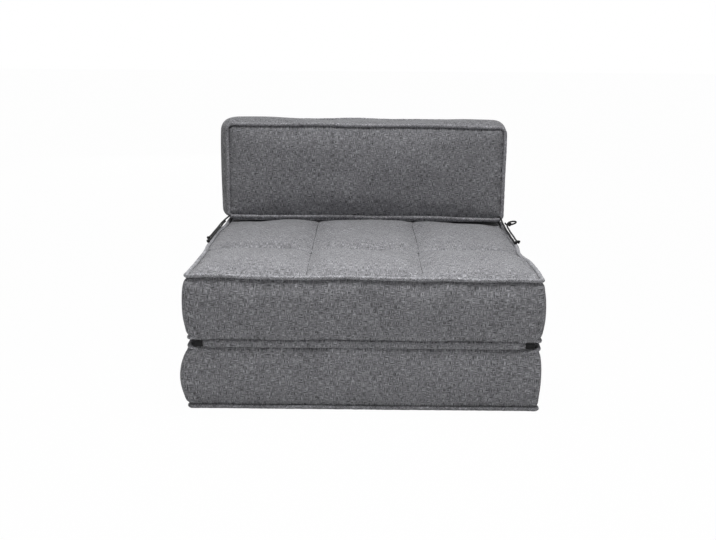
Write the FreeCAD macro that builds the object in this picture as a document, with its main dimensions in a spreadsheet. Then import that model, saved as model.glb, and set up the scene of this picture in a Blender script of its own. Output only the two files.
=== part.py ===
import FreeCAD, Part
import math
import os
import re
import Sketcher

# Convertible chair bed: two upholstered blocks joined by a cloth hinge at the
# front, with a loose back cushion that stands at the rear of the upper block.
# The frame has +Z up, the front faces -Y, and the origin lies on the floor at
# the centre of the lower block. Sizes are in millimetres.

doc = FreeCAD.newDocument("chair_bed")
sheet = doc.addObject("Spreadsheet::Sheet", "sizes")
aliases = []


def cell(alias, content):
    """Writes one row of the sheet and gives its value the alias."""
    aliases.append(alias)
    row = str(len(aliases))
    sheet.set("A" + row, alias)
    sheet.set("B" + row, content)
    sheet.setAlias("B" + row, alias)


def derived(alias, formula):
    cell(alias, "=" + formula)


sizes = {
    # Blocks and back cushion
    "block_width": 792,
    "block_depth": 792,
    "base_tall": 147,
    "fold_gap": 18,
    "seat_tall": 142,
    "back_wide": 751,
    "back_tall": 249,
    "back_thick": 140,
    "block_bulge": 8,
    "back_bulge": 14,
    "block_corner": 12,
    "back_top_corner": 34,
    "back_foot_corner": 14,
    "foam_corner": 5,
    "back_overhang": 2.2,
    # Cover cloth, fleece wrap and piping
    "cloth": 2,
    "fleece": 12,
    "play": 0.3,
    "welt_radius": 4.5,
    "welt_inset": 2,
    "welt_sink": 4.7,
    "side_seam_back": 330,
    "back_seam_down": 80,
    # Quilted top of the seat
    "pad_crown": 13,
    "pad_seam": 5,
    "front_row": 251,
    "pad_under_back": 1.8,
    "middle_column": 262,
    # Cloth hinges
    "tab_wide": 21,
    "tab_short_of_corner": 1,
    "flap_short_of_side": 46,
    "flap_tall": 34,
    "foot_band_short_of_side": 6.5,
    # Zips
    "zip_long": 560,
    "zip_opening": 8,
    "tape_thick": 1.4,
    "coil_radius": 1.3,
    "slider_long": 12,
    "slider_wide": 9,
    "slider_thick": 4,
    "slider_wall": 1,
    "pull_long": 26,
    "pull_wide": 6,
    "pull_thick": 1.6,
    "pivot_radius": 1.3,
    "pivot_play": 0.08,
    "pivot_head": 2.4,
    "back_zip_up": 46,
    # Tie cords
    "cord_radius": 2.25,
    "end_knot": 4.4,
    "bow_knot": 6,
}
for alias, number in sizes.items():
    cell(alias, str(number))

# Places that follow from the sizes
derived("seat_low", "base_tall + fold_gap")
derived("seat_top", "seat_low + seat_tall")
derived("skin", "cloth + play")
derived("welt_gap", "welt_sink + welt_radius + play")
derived("welt_clear", "welt_inset + welt_radius + play")
derived("pad_edge", "block_corner - (block_corner - welt_clear) / sqrt(2) + play")
derived("back_low", "seat_top + back_bulge + play")
derived("back_rear", "block_depth / 2 + back_overhang")
derived("back_front", "back_rear - back_thick")
derived("rear_row_front", "pad_edge + front_row + pad_seam - block_depth / 2")
derived("rear_row", "back_front + pad_under_back - rear_row_front")
derived("tab_reach", "block_width / 2 - block_corner - tab_short_of_corner")
derived("strip_reach", "tab_reach - tab_wide - play")
doc.recompute()


def value(formula):
    """The number that a formula of the sheet's aliases stands for."""
    return float(sheet.evalExpression(formula))


def bind(obj, prop, formula):
    """Ties a property to a formula of the sheet's aliases."""
    words = re.split("([a-z_]+)", formula)
    obj.setExpression(prop, "".join("sizes." + word if word in aliases else word for word in words))


def place(obj, x="0", y="0", z="0"):
    """Puts an object's own origin at a point given by three formulas."""
    for axis, formula in (("x", x), ("y", y), ("z", z)):
        bind(obj, ".Placement.Base." + axis, formula)


def plane(body, role):
    return next(o for o in body.Origin.OriginFeatures if o.Role == role)


def new_body(label):
    body = doc.addObject("PartDesign::Body", label)
    body.Label = label
    return body


def sketch_in(body, role, name):
    sketch = body.newObject("Sketcher::SketchObject", name)
    sketch.AttachmentSupport = [(plane(body, role), "")]
    sketch.MapMode = "FlatFace"
    return sketch


def limit(sketch, kind, *args):
    """Adds a dimension whose last argument is a formula."""
    at = sketch.addConstraint(Sketcher.Constraint(kind, *args[:-1], value(args[-1])))
    bind(sketch, "Constraints[%d]" % at, args[-1])


def fix(sketch, kind, *args):
    sketch.addConstraint(Sketcher.Constraint(kind, *args))


def vec(x, y, z=0):
    return FreeCAD.Vector(x, y, z)


def corner_arc(x, y, radius, start):
    """A quarter turn about x, y that begins at the given angle in degrees."""
    circle = Part.Circle(vec(x, y), vec(0, 0, 1), radius)
    return Part.ArcOfCircle(circle, math.radians(start), math.radians(start + 90))


def ring_path(body, half_x, half_y, front_radius, rear_radius, tag="_path"):
    """A closed rounded rectangle that starts at the middle of its +X side."""
    path = sketch_in(body, "XY_Plane", body.Label + tag)
    a, b, f, r = value(half_x), value(half_y), value(front_radius), value(rear_radius)
    line = Part.LineSegment
    pieces = [
        line(vec(a, 0), vec(a, b - r)),
        corner_arc(a - r, b - r, r, 0),
        line(vec(a - r, b), vec(r - a, b)),
        corner_arc(r - a, b - r, r, 90),
        line(vec(-a, b - r), vec(-a, f - b)),
        corner_arc(f - a, f - b, f, 180),
        line(vec(f - a, -b), vec(a - f, -b)),
        corner_arc(a - f, f - b, f, 270),
        line(vec(a, f - b), vec(a, 0)),
    ]
    path.addGeometry(pieces, False)
    for i in range(8):
        fix(path, "Tangent", i, 2, i + 1, 1)
    fix(path, "Coincident", 8, 2, 0, 1)
    fix(path, "PointOnObject", 0, 1, -1)
    for i in (0, 4, 8):
        fix(path, "Vertical", i)
    fix(path, "Horizontal", 6)
    fix(path, "Equal", 1, 3)
    fix(path, "Equal", 5, 7)
    fix(path, "Symmetric", 2, 1, 2, 2, -2)
    limit(path, "Radius", 1, rear_radius)
    limit(path, "Radius", 5, front_radius)
    limit(path, "DistanceX", -1, 1, 0, 1, half_x)
    limit(path, "DistanceY", -1, 1, 2, 1, half_y)
    limit(path, "DistanceY", 6, 1, -1, 1, half_y)
    return path


def band_path(body, half_x, far_y, end_y, radius, far=-1):
    """An open band: along +X side, across at far_y towards far, and back along the -X side."""
    path = sketch_in(body, "XY_Plane", body.Label + "_path")
    a, b, e, r = value(half_x), value(far_y) * far, value(end_y), value(radius)
    line = Part.LineSegment
    near = b - far * r
    right, left = (270, 180) if far < 0 else (0, 90)
    pieces = [
        line(vec(a, e), vec(a, near)),
        corner_arc(a - r, near, r, right),
        line(vec(a - r, b), vec(r - a, b)),
        corner_arc(r - a, near, r, left),
        line(vec(-a, near), vec(-a, e)),
    ]
    path.addGeometry(pieces, False)
    first, last = (2, 1) if far < 0 else (1, 2)
    fix(path, "Tangent", 0, 2, 1, first)
    fix(path, "Tangent", 1, last, 2, 1)
    fix(path, "Tangent", 2, 2, 3, first)
    fix(path, "Tangent", 3, last, 4, 1)
    fix(path, "Vertical", 0)
    fix(path, "Vertical", 4)
    fix(path, "Horizontal", 2)
    fix(path, "Equal", 1, 3)
    fix(path, "Symmetric", 0, 1, 4, 2, -2)
    limit(path, "Radius", 1, radius)
    limit(path, "DistanceX", -1, 1, 0, 1, half_x)
    if far < 0:
        limit(path, "DistanceY", 2, 1, -1, 1, far_y)
    else:
        limit(path, "DistanceY", -1, 1, 2, 1, far_y)
    limit(path, "DistanceY", -1, 1, 0, 1, end_y)
    return path


def gap_path(body, half_x, half_y, radius, reach):
    """A rounded rectangle that is open across the middle of its -Y side."""
    path = sketch_in(body, "XY_Plane", body.Label + "_path")
    a, b, r, g = value(half_x), value(half_y), value(radius), value(reach)
    line = Part.LineSegment
    pieces = [
        line(vec(g, -b), vec(a - r, -b)),
        corner_arc(a - r, r - b, r, 270),
        line(vec(a, r - b), vec(a, b - r)),
        corner_arc(a - r, b - r, r, 0),
        line(vec(a - r, b), vec(r - a, b)),
        corner_arc(r - a, b - r, r, 90),
        line(vec(-a, b - r), vec(-a, r - b)),
        corner_arc(r - a, r - b, r, 180),
        line(vec(r - a, -b), vec(-g, -b)),
    ]
    path.addGeometry(pieces, False)
    for i in range(8):
        fix(path, "Tangent", i, 2, i + 1, 1)
    for i in (2, 6):
        fix(path, "Vertical", i)
    for i in (0, 4, 8):
        fix(path, "Horizontal", i)
    for i in (3, 5, 7):
        fix(path, "Equal", 1, i)
    fix(path, "Symmetric", 0, 1, 8, 2, -2)
    limit(path, "Radius", 1, radius)
    limit(path, "DistanceX", -1, 1, 0, 1, reach)
    limit(path, "DistanceX", -1, 1, 2, 1, half_x)
    limit(path, "DistanceX", 6, 1, -1, 1, half_x)
    limit(path, "DistanceY", 0, 1, -1, 1, half_y)
    limit(path, "DistanceY", -1, 1, 4, 1, half_y)
    return path


def shift(sketch, formula):
    """Moves a sketch off its plane, along the plane's normal."""
    bind(sketch, ".AttachmentOffset.Base.z", formula)
    return sketch


def sweep(body, profile, path):
    pipe = body.newObject("PartDesign::AdditivePipe", body.Label + "_sweep")
    pipe.Profile = profile
    pipe.Spine = path
    profile.Visibility = False
    path.Visibility = False
    return pipe


def round_profile(body, x, z, radius, role="XZ_Plane"):
    """A round cord section centred at x, z in the given plane."""
    profile = sketch_in(body, role, body.Label + "_section")
    circle = Part.Circle(vec(value(x), value(z)), vec(0, 0, 1), value(radius))
    profile.addGeometry(circle, False)
    limit(profile, "Radius", 0, radius)
    limit(profile, "DistanceX", -1, 1, 0, 3, x)
    limit(profile, "DistanceY", -1, 1, 0, 3, z)
    return profile


def bulge_radius(tall, bulge):
    """The radius of an arc of that height and rise, as a formula."""
    return "((%s) * (%s) / 4 + (%s) * (%s)) / (2 * (%s))" % (tall, tall, bulge, bulge, bulge)


def arc_between(x, low, high, bulge):
    return Part.Arc(vec(x, low), vec(x + bulge, (low + high) / 2), vec(x, high))


def band_profile(body, x, low, high, bulge, thick):
    """A thin upright strip section that bellies out towards +X."""
    profile = sketch_in(body, "XZ_Plane", body.Label + "_section")
    vx, lo, hi, b, t = value(x), value(low), value(high), value(bulge), value(thick)
    profile.addGeometry(
        [
            arc_between(vx, lo, hi, b),
            Part.LineSegment(vec(vx, hi), vec(vx - t, hi)),
            arc_between(vx - t, lo, hi, b),
            Part.LineSegment(vec(vx - t, lo), vec(vx, lo)),
        ],
        False,
    )
    fix(profile, "Coincident", 0, 2, 1, 1)
    fix(profile, "Coincident", 1, 2, 2, 2)
    fix(profile, "Coincident", 2, 1, 3, 1)
    fix(profile, "Coincident", 3, 2, 0, 1)
    fix(profile, "Horizontal", 1)
    fix(profile, "Horizontal", 3)
    fix(profile, "Equal", 0, 2)
    limit(profile, "Radius", 0, bulge_radius("%s - (%s)" % (high, low), bulge))
    limit(profile, "DistanceX", -1, 1, 0, 1, x)
    limit(profile, "DistanceX", -1, 1, 0, 2, x)
    limit(profile, "DistanceY", -1, 1, 0, 1, low)
    limit(profile, "DistanceY", -1, 1, 0, 2, high)
    limit(profile, "DistanceX", 1, 2, 1, 1, thick)
    limit(profile, "DistanceX", 3, 1, 3, 2, thick)
    return profile


def plain_box(label, long_x, long_y, long_z, x, y, z):
    """A box between x and x + long_x, and so on."""
    box = doc.addObject("Part::Box", label)
    box.Label = label
    bind(box, "Length", long_x)
    bind(box, "Width", long_y)
    bind(box, "Height", long_z)
    place(box, x, y, z)
    return box


def pad(body, sketch, tall, tag="_pad"):
    feature = body.newObject("PartDesign::Pad", body.Label + tag)
    feature.Profile = sketch
    bind(feature, "Length", tall)
    sketch.Visibility = False
    return feature


def slab(label, form, inset, low, tall):
    """A flat block with the cushion's plan, moved in by inset all round."""
    body = new_body(label)
    outline = ring_path(body, *inset_plan(form, inset))
    pad(body, shift(outline, low), tall)
    return body


def inset_plan(form, inset):
    outline = ("half_x", "half_y", "front_corner", "rear_corner")
    return [form[key] + " - (" + inset + ")" for key in outline]


def belly_profile(body, x, low, high, bulge, inside):
    """A section with a flat inner side and a bellied outer side."""
    profile = sketch_in(body, "XZ_Plane", body.Label + "_section")
    vx, lo, hi, b, d = value(x), value(low), value(high), value(bulge), value(inside)
    line = Part.LineSegment
    profile.addGeometry(
        [
            arc_between(vx, lo, hi, b),
            line(vec(vx, hi), vec(vx - d, hi)),
            line(vec(vx - d, hi), vec(vx - d, lo)),
            line(vec(vx - d, lo), vec(vx, lo)),
        ],
        False,
    )
    fix(profile, "Coincident", 0, 2, 1, 1)
    for i in (1, 2):
        fix(profile, "Coincident", i, 2, i + 1, 1)
    fix(profile, "Coincident", 3, 2, 0, 1)
    fix(profile, "Horizontal", 1)
    fix(profile, "Horizontal", 3)
    fix(profile, "Vertical", 2)
    limit(profile, "Radius", 0, bulge_radius("%s - (%s)" % (high, low), bulge))
    limit(profile, "DistanceX", -1, 1, 0, 1, x)
    limit(profile, "DistanceX", -1, 1, 0, 2, x)
    limit(profile, "DistanceY", -1, 1, 0, 1, low)
    limit(profile, "DistanceY", -1, 1, 0, 2, high)
    limit(profile, "DistanceX", 1, 2, 1, 1, inside)
    return profile


def join(kind, label, *parts):
    """A boolean of two or more objects, under a label of its own."""
    obj = doc.addObject("Part::" + kind, label)
    obj.Label = label
    if kind == "Cut":
        obj.Base, obj.Tool = parts
    else:
        obj.Shapes = list(parts)
    return obj


nodes = {}


def finished(obj, label, seat_at):
    """Names a finished piece and stands it in its place on the chair."""
    obj.Label = label
    turned = seat_at.get("turned")
    if turned:
        obj.Placement.Rotation = FreeCAD.Rotation(vec(1, 0, 0), turned)
    place(obj, "0", seat_at.get("y", "0"), seat_at["z"])
    nodes[label] = obj


# Each cushion is drawn lying flat on its own z = 0, with its zip edge towards
# +Y. The back cushion is then stood up, so that its top faces the rear.
base = {
    "name": "base",
    "half_x": "block_width / 2",
    "half_y": "block_depth / 2",
    "tall": "base_tall",
    "bulge": "block_bulge",
    "front_corner": "block_corner",
    "rear_corner": "block_corner",
    "seam": "side_seam_back",
    "at": {"z": "0"},
}
seat = dict(base, name="seat", tall="seat_tall", at={"z": "seat_low"})
back = {
    "name": "back",
    "half_x": "back_wide / 2",
    "half_y": "back_tall / 2",
    "tall": "back_thick",
    "bulge": "back_bulge",
    "front_corner": "back_top_corner",
    "rear_corner": "back_foot_corner",
    "seam": "back_seam_down",
    "at": {"y": "back_front", "z": "back_low + back_tall / 2", "turned": -90},
}


def filling(form):
    """The foam block, and the fleece wrapped round it that gives the cover its belly."""
    name, tall, at = form["name"], form["tall"], form["at"]
    inside = "(skin + fleece)"
    half = (form["half_x"] + " - " + inside, form["half_y"] + " - " + inside, "foam_corner", "foam_corner")
    core = new_body(name + "_foam_core")
    foam = "%s - 2 * (%s)" % (tall, inside)
    pad(core, shift(ring_path(core, *half), inside), foam)
    finished(core, name + "_foam_core", at)

    room = new_body(name + "_foam_room")
    wider = [part + " + play" for part in half]
    pad(room, shift(ring_path(room, *wider), inside + " - play"), foam + " + 2 * play")
    wrap = new_body(name + "_fleece_blank")
    whole = ring_path(wrap, *inset_plan(form, "welt_clear"), tag="_tall")
    pad(wrap, shift(whole, "skin"), tall + " - 2 * skin", "_tall_pad")
    wide = ring_path(wrap, *inset_plan(form, "skin"), tag="_wide")
    pad(wrap, shift(wide, "welt_gap"), tall + " - 2 * welt_gap", "_wide_pad")
    edge = form["half_x"] + " - skin"
    high = tall + " - welt_gap"
    section = belly_profile(wrap, edge, "welt_gap", high, form["bulge"], "back_foot_corner / 2")
    sweep(wrap, section, ring_path(wrap, *inset_plan(form, "skin")))
    finished(join("Cut", name + "_fleece_wrap", wrap, room), name + "_fleece_wrap", at)


def boxing(form, slot=None):
    """The bands round the edge: one over the front and sides, one over the zip edge."""
    name, tall, at = form["name"], form["tall"], form["at"]
    for kind, far, corner, end in (
        ("_side_boxing", -1, "front_corner", form["seam"]),
        ("_zip_boxing", 1, "rear_corner", form["seam"] + " + play"),
    ):
        label = name + kind
        band = new_body(label + "_band" if slot and far > 0 else label)
        path = band_path(band, form["half_x"], form["half_y"], end, form[corner], far)
        high = tall + " - welt_gap"
        section = band_profile(band, form["half_x"], "welt_gap", high, form["bulge"], "cloth")
        sweep(band, shift(section, "-(" + end + ")"), path)
        if slot and far > 0:
            band = join("Cut", label, band, slot)
        finished(band, label, at)


def welt(form, side, low, open_reach=None):
    """Piping round one edge of a cushion, closed or with its front left out."""
    label = form["name"] + side
    cord = new_body(label)
    plan = inset_plan(form, "welt_inset")
    if open_reach is None:
        section = round_profile(cord, plan[0], low, "welt_radius")
        sweep(cord, section, ring_path(cord, *plan))
    else:
        section = round_profile(cord, "-(" + plan[1] + ")", low, "welt_radius", "YZ_Plane")
        sweep(cord, shift(section, open_reach), gap_path(cord, *plan[:3], open_reach))
    finished(cord, label, form["at"])


def panel(form, side, low):
    finished(slab(form["name"] + side, form, "welt_clear", low, "cloth"), form["name"] + side, form["at"])


def dome(label, mid_x, mid_y, wide, deep, z, cut_z):
    """A shallow pad that rises from nothing at its four edges to its crown."""
    parts = []
    for turn, span in ((vec(1, 0, 0), wide), (vec(0, 1, 0), deep)):
        roll = doc.addObject("Part::Cylinder", label + "_roll")
        bind(roll, "Radius", bulge_radius(span, "pad_crown"))
        bind(roll, "Height", "block_width")
        axis_z = z + " + pad_crown - " + bulge_radius(span, "pad_crown")
        if turn.x:
            roll.Placement.Rotation = FreeCAD.Rotation(turn, -90)
            place(roll, mid_x, mid_y + " - block_width / 2", axis_z)
        else:
            roll.Placement.Rotation = FreeCAD.Rotation(turn, 90)
            place(roll, mid_x + " - block_width / 2", mid_y, axis_z)
        parts.append(roll)
    parts.append(
        plain_box(
            label + "_block",
            wide + " + 4 * pad_seam",
            deep + " + 4 * pad_seam",
            "2 * pad_crown",
            mid_x + " - (" + wide + ") / 2 - 2 * pad_seam",
            mid_y + " - (" + deep + ") / 2 - 2 * pad_seam",
            cut_z,
        )
    )
    return join("MultiCommon", label, *parts)


def quilted_top():
    """The seat's top: cloth sewn down in a grid over six loose pads of wadding."""
    side = "(block_width / 2 - pad_edge - middle_column / 2 - pad_seam / 2)"
    offset = "(middle_column + pad_seam + " + side + ") / 2"
    middle = "(middle_column - pad_seam)"
    front_y = "-block_depth / 2 + pad_edge + front_row / 2"
    rear_y = "rear_row_front + rear_row / 2"
    grid = []
    for mid_y, deep in ((front_y, "front_row"), (rear_y, "rear_row")):
        for mid_x, wide in (("-" + offset, side), ("0", middle), (offset, side)):
            grid.append((mid_x, mid_y, wide, deep))
    outer, inner, wadding = [], [], []
    for i, spot in enumerate(grid):
        tag = "pad_%d" % (i + 1)
        outer.append(dome(tag + "_cloth", *spot, "seat_tall", "seat_tall - play / 2"))
        inner.append(dome(tag + "_room", *spot, "seat_tall - cloth", "seat_tall - 2 * cloth"))
        wadding.append(dome(tag + "_wadding", *spot, "seat_tall - skin", "seat_tall - skin"))
    flat = slab("seat_top_flat", seat, "welt_clear", "seat_tall - cloth", "cloth")
    domed = join("MultiFuse", "seat_top_domed", flat, *outer)
    hollow = join("MultiFuse", "seat_top_room", *inner)
    finished(join("Cut", "seat_quilted_top", domed, hollow), "seat_quilted_top", seat["at"])
    packed = doc.addObject("Part::Compound", "seat_quilt_wadding")
    packed.Links = wadding
    finished(packed, "seat_quilt_wadding", seat["at"])


def slot_box(label, y, long_y, z, long_z):
    return plain_box(label, "zip_long", long_y, long_z, "-zip_long / 2", y, z)


def zip_fastener(name, face, mid_z):
    """Tape with its coil in the slot, a slider on the coil and a pull that hangs from it."""
    at = {"y": face, "z": mid_z}
    tape_face = "(tape_thick - cloth)"
    tape = plain_box(
        name + "_zip_tape",
        "zip_long - 2 * play",
        "tape_thick",
        "zip_opening - 2 * play",
        "play - zip_long / 2",
        "-cloth",
        "play - zip_opening / 2",
    )
    coil = lying_rod(
        name + "_zip_coil", "coil_radius", "zip_long - 2 * play", "play - zip_long / 2", tape_face
    )
    finished(join("MultiFuse", name + "_zip_chain", tape, coil), name + "_zip_chain", at)

    end = "zip_long / 2 - slider_long"
    block = plain_box(
        name + "_slider_block",
        "slider_long",
        "slider_thick",
        "slider_wide",
        end,
        "play",
        "-slider_wide / 2",
    )
    channel = lying_rod(name + "_slider_channel", "coil_radius + play", "zip_long", "0", tape_face)
    mid_x = "zip_long / 2 - slider_long / 2"
    outside = "play + slider_thick"
    shank_long = "slider_wall + pull_thick + 2 * play"
    shank = standing_rod(
        name + "_pull_pin", "pivot_radius", shank_long, mid_x, outside + " - slider_wall"
    )
    head_y = outside + " + pull_thick + 2 * play"
    head = standing_rod(name + "_pull_head", "pivot_head", "slider_wall", mid_x, head_y)
    hollowed = join("Cut", name + "_slider_body", block, channel)
    finished(join("MultiFuse", name + "_zip_slider", hollowed, shank, head), name + "_zip_slider", at)

    leaf_y = outside + " + play"
    leaf = plain_box(
        name + "_pull_leaf",
        "pull_wide",
        "pull_thick",
        "pull_long",
        mid_x + " - pull_wide / 2",
        leaf_y,
        "-pull_long",
    )
    eye = standing_rod(name + "_pull_eye", "pull_wide / 2", "pull_thick", mid_x, leaf_y)
    tip = standing_rod(name + "_pull_tip", "pull_wide / 2", "pull_thick", mid_x, leaf_y, "-pull_long")
    bore_low = leaf_y + " - pull_thick"
    bore = standing_rod(
        name + "_pull_bore", "pivot_radius + pivot_play", "3 * pull_thick", mid_x, bore_low
    )
    whole = join("MultiFuse", name + "_pull_blank", leaf, eye, tip)
    finished(join("Cut", name + "_zip_pull", whole, bore), name + "_zip_pull", at)


def lying_rod(label, radius, long_x, x, y):
    """A round rod along X from x."""
    rod = doc.addObject("Part::Cylinder", label)
    bind(rod, "Radius", radius)
    bind(rod, "Height", long_x)
    rod.Placement.Rotation = FreeCAD.Rotation(vec(0, 1, 0), 90)
    place(rod, x, y, "0")
    return rod


def standing_rod(label, radius, long_y, x, y, z="0"):
    """A round rod along Y from y outwards."""
    rod = doc.addObject("Part::Cylinder", label)
    bind(rod, "Radius", radius)
    bind(rod, "Height", long_y)
    rod.Placement.Rotation = FreeCAD.Rotation(vec(1, 0, 0), -90)
    place(rod, x, y, z)
    return rod


def strap(label, low_x, high_x, y, thick, low_z, high_z):
    """A flat strip of cloth or webbing that stands upright across the chair."""
    wide = "(%s) - (%s)" % (high_x, low_x)
    tall = "(%s) - (%s)" % (high_z, low_z)
    nodes[label] = plain_box(label, wide, thick, tall, low_x, y, low_z)


# Lower block
filling(base)
block_slot = slot_box(
    "base_zip_slot",
    "block_depth / 2",
    "2 * block_bulge",
    "base_tall / 2 - zip_opening / 2",
    "zip_opening",
)
boxing(base, block_slot)
panel(base, "_top_panel", "base_tall - cloth")
panel(base, "_bottom_panel", "0")
welt(base, "_top_piping", "base_tall - welt_sink", "tab_reach + play")
welt(base, "_bottom_piping", "welt_sink")
zip_fastener("base", "block_depth / 2 + block_bulge", "base_tall / 2")

# Upper block
filling(seat)
seat_slot = slot_box(
    "seat_zip_slot",
    "block_depth / 2",
    "2 * block_bulge",
    "seat_tall / 2 - zip_opening / 2",
    "zip_opening",
)
boxing(seat, seat_slot)
quilted_top()
panel(seat, "_bottom_panel", "0")
welt(seat, "_top_piping", "seat_tall - welt_sink")
welt(seat, "_bottom_piping", "welt_sink", "tab_reach + play")
zip_fastener("seat", "block_depth / 2 + block_bulge", "seat_low + seat_tall / 2")

# Back cushion
filling(back)
boxing(back)
panel(back, "_front_panel", "0")
rear_flat = slab("back_rear_flat", back, "welt_clear", "back_thick - cloth", "cloth")
back_slot = slot_box(
    "back_zip_slot",
    "back_tall / 2 - back_zip_up - zip_opening / 2",
    "zip_opening",
    "back_thick - 2 * cloth",
    "3 * cloth",
)
finished(join("Cut", "back_rear_panel", rear_flat, back_slot), "back_rear_panel", back["at"])
welt(back, "_front_piping", "welt_sink")
welt(back, "_rear_piping", "back_thick - welt_sink")
zip_fastener("back", "back_rear", "back_low + back_zip_up")

# Cloth hinge at the front, with a webbing tab at each end
fold_low = "base_tall - welt_gap + play"
fold_high = "seat_low + welt_gap - play"
for label, low_x, high_x in (
    ("fold_hinge_strip", "-strip_reach", "strip_reach"),
    ("hinge_tab_left", "-tab_reach", "-strip_reach - play"),
    ("hinge_tab_right", "strip_reach + play", "tab_reach"),
):
    strap(label, low_x, high_x, "-block_depth / 2", "cloth", fold_low, fold_high)

# Cloth flap that joins the back cushion to the rear of the seat
flap_y = "block_depth / 2 - welt_inset + welt_radius + play"
flap_low = "seat_top - welt_sink - play"
flap_reach = "(block_width / 2 - flap_short_of_side)"
flap_high = flap_low + " + flap_tall"
strap("back_hinge_flap", "-" + flap_reach, flap_reach, flap_y, "cloth", flap_low, flap_high)

# Band sewn under the front piping of the back cushion
band_reach = "(back_wide / 2 - foot_band_short_of_side)"
band_low = "seat_top + play"
band_high = "back_low + welt_inset - welt_radius - play"
strap("back_foot_band", "-" + band_reach, band_reach, "back_front", "cloth", band_low, band_high)


def cord(label, points):
    """A round cord along straight runs joined by tangent arcs."""
    radius = value("cord_radius")
    route = [vec(*point) for point in points]
    path, bends = [], []
    start = route[0]
    for before, here, after in zip(route, route[1:], route[2:]):
        into, out = here - before, after - here
        half_turn = into.getAngle(out) / 2
        reach = 0.45 * min(into.Length, out.Length)
        bend = reach / math.tan(half_turn)
        bends.append(bend)
        into.normalize()
        out.normalize()
        first, last = here - into * reach, here + out * reach
        inward = out - into
        inward.normalize()
        middle = here + inward * (bend / math.cos(half_turn) - bend)
        path.append(Part.LineSegment(start, first).toShape())
        path.append(Part.Arc(first, middle, last).toShape())
        start = last
    path.append(Part.LineSegment(start, route[-1]).toShape())
    spine = Part.Wire(path)
    section = Part.Wire(Part.Circle(route[0], route[1] - route[0], radius).toShape())
    solid = spine.makePipeShell([section], True, False)
    wanted = math.pi * radius * radius * spine.Length
    print(label, "length %.0f" % spine.Length, "least bend %.1f" % min(bends))
    print("volume over section times length: %.4f" % (solid.Volume / wanted))
    piece = doc.addObject("Part::Feature", label)
    piece.Shape = solid
    nodes[label] = piece


def knot(label, at, radius):
    ball = doc.addObject("Part::Sphere", label)
    bind(ball, "Radius", radius)
    ball.Placement.Base = vec(*at)
    nodes[label] = ball


# Tie cords, two at each lower corner of the back cushion: one is sewn to the
# cushion and one to the seat, and they lie side by side along the seat's edge
cord(
    "back_tie_left",
    [
        (-374.4, 262.4, 322.4),
        (-381, 258, 317),
        (-389, 245, 311.5),
        (-394.5, 222, 309.8),
        (-396.5, 184, 309.6),
        (-395, 138, 309.9),
        (-397, 92, 309.6),
        (-395.5, 46, 309.8),
        (-398, 6, 310.2),
    ],
)
knot("back_tie_left_knot", (-398, 4, 311.5), "end_knot")
cord(
    "seat_tie_left",
    [
        (-386.6, 232, 309.7),
        (-387.2, 219, 309.7),
        (-388.6, 200, 309.9),
        (-387.2, 170, 309.8),
        (-389, 128, 309.8),
        (-387.4, 84, 309.9),
        (-388.8, 40, 309.8),
        (-388, 0, 310),
        (-389.5, -34, 310.4),
    ],
)
knot("seat_tie_left_knot", (-389.5, -36, 311.6), "end_knot")
cord(
    "back_tie_right",
    [
        (374.4, 262.4, 322.4),
        (379.5, 256, 316.5),
        (384.5, 243, 311.6),
        (387.8, 220, 309.8),
        (388.6, 184, 309.9),
        (387.2, 140, 309.8),
        (389, 96, 309.9),
        (387.3, 52, 309.8),
        (388.8, 10, 309.9),
        (387.4, -26, 310.2),
    ],
)
knot("back_tie_right_knot", (387.4, -28, 311.6), "end_knot")
cord(
    "seat_tie_right",
    [
        (396.5, 250, 309.2),
        (396, 236, 309.6),
        (397.5, 222, 310.5),
        (398.5, 208, 311.2),
        (402, 195, 313.5),
        (409, 188, 317),
        (416, 193, 320),
        (417.5, 205, 321),
        (411, 214, 320.5),
        (402, 213, 319),
        (396, 204, 317),
        (394, 190, 313.5),
        (395.5, 172, 310),
        (396.5, 145, 309.4),
        (395.2, 106, 309.7),
        (397.4, 64, 309.3),
        (396, 22, 309.6),
        (398, -14, 310.2),
    ],
)
knot("seat_tie_right_bow_knot", (397.5, 205, 314), "bow_knot")
knot("seat_tie_right_knot", (398, -16, 311.6), "end_knot")

# Everything is worked out once, and nothing is written unless it is sound
doc.recompute()
for obj in doc.Objects:
    if "Invalid" in obj.State or "Error" in obj.State:
        raise RuntimeError(obj.Name + " failed: " + ", ".join(obj.State))
for label, obj in nodes.items():
    if obj.Shape.isNull() or not obj.Shape.isValid() or not obj.Shape.Solids:
        raise RuntimeError(label + " has no sound solid")

os.makedirs("parts", exist_ok=True)
for label, obj in nodes.items():
    obj.Shape.exportStep("parts/" + label + ".step")
print(len(nodes), "pieces written")
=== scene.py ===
import math

import bpy
import numpy as np
from mathutils import Matrix, Vector


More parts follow.
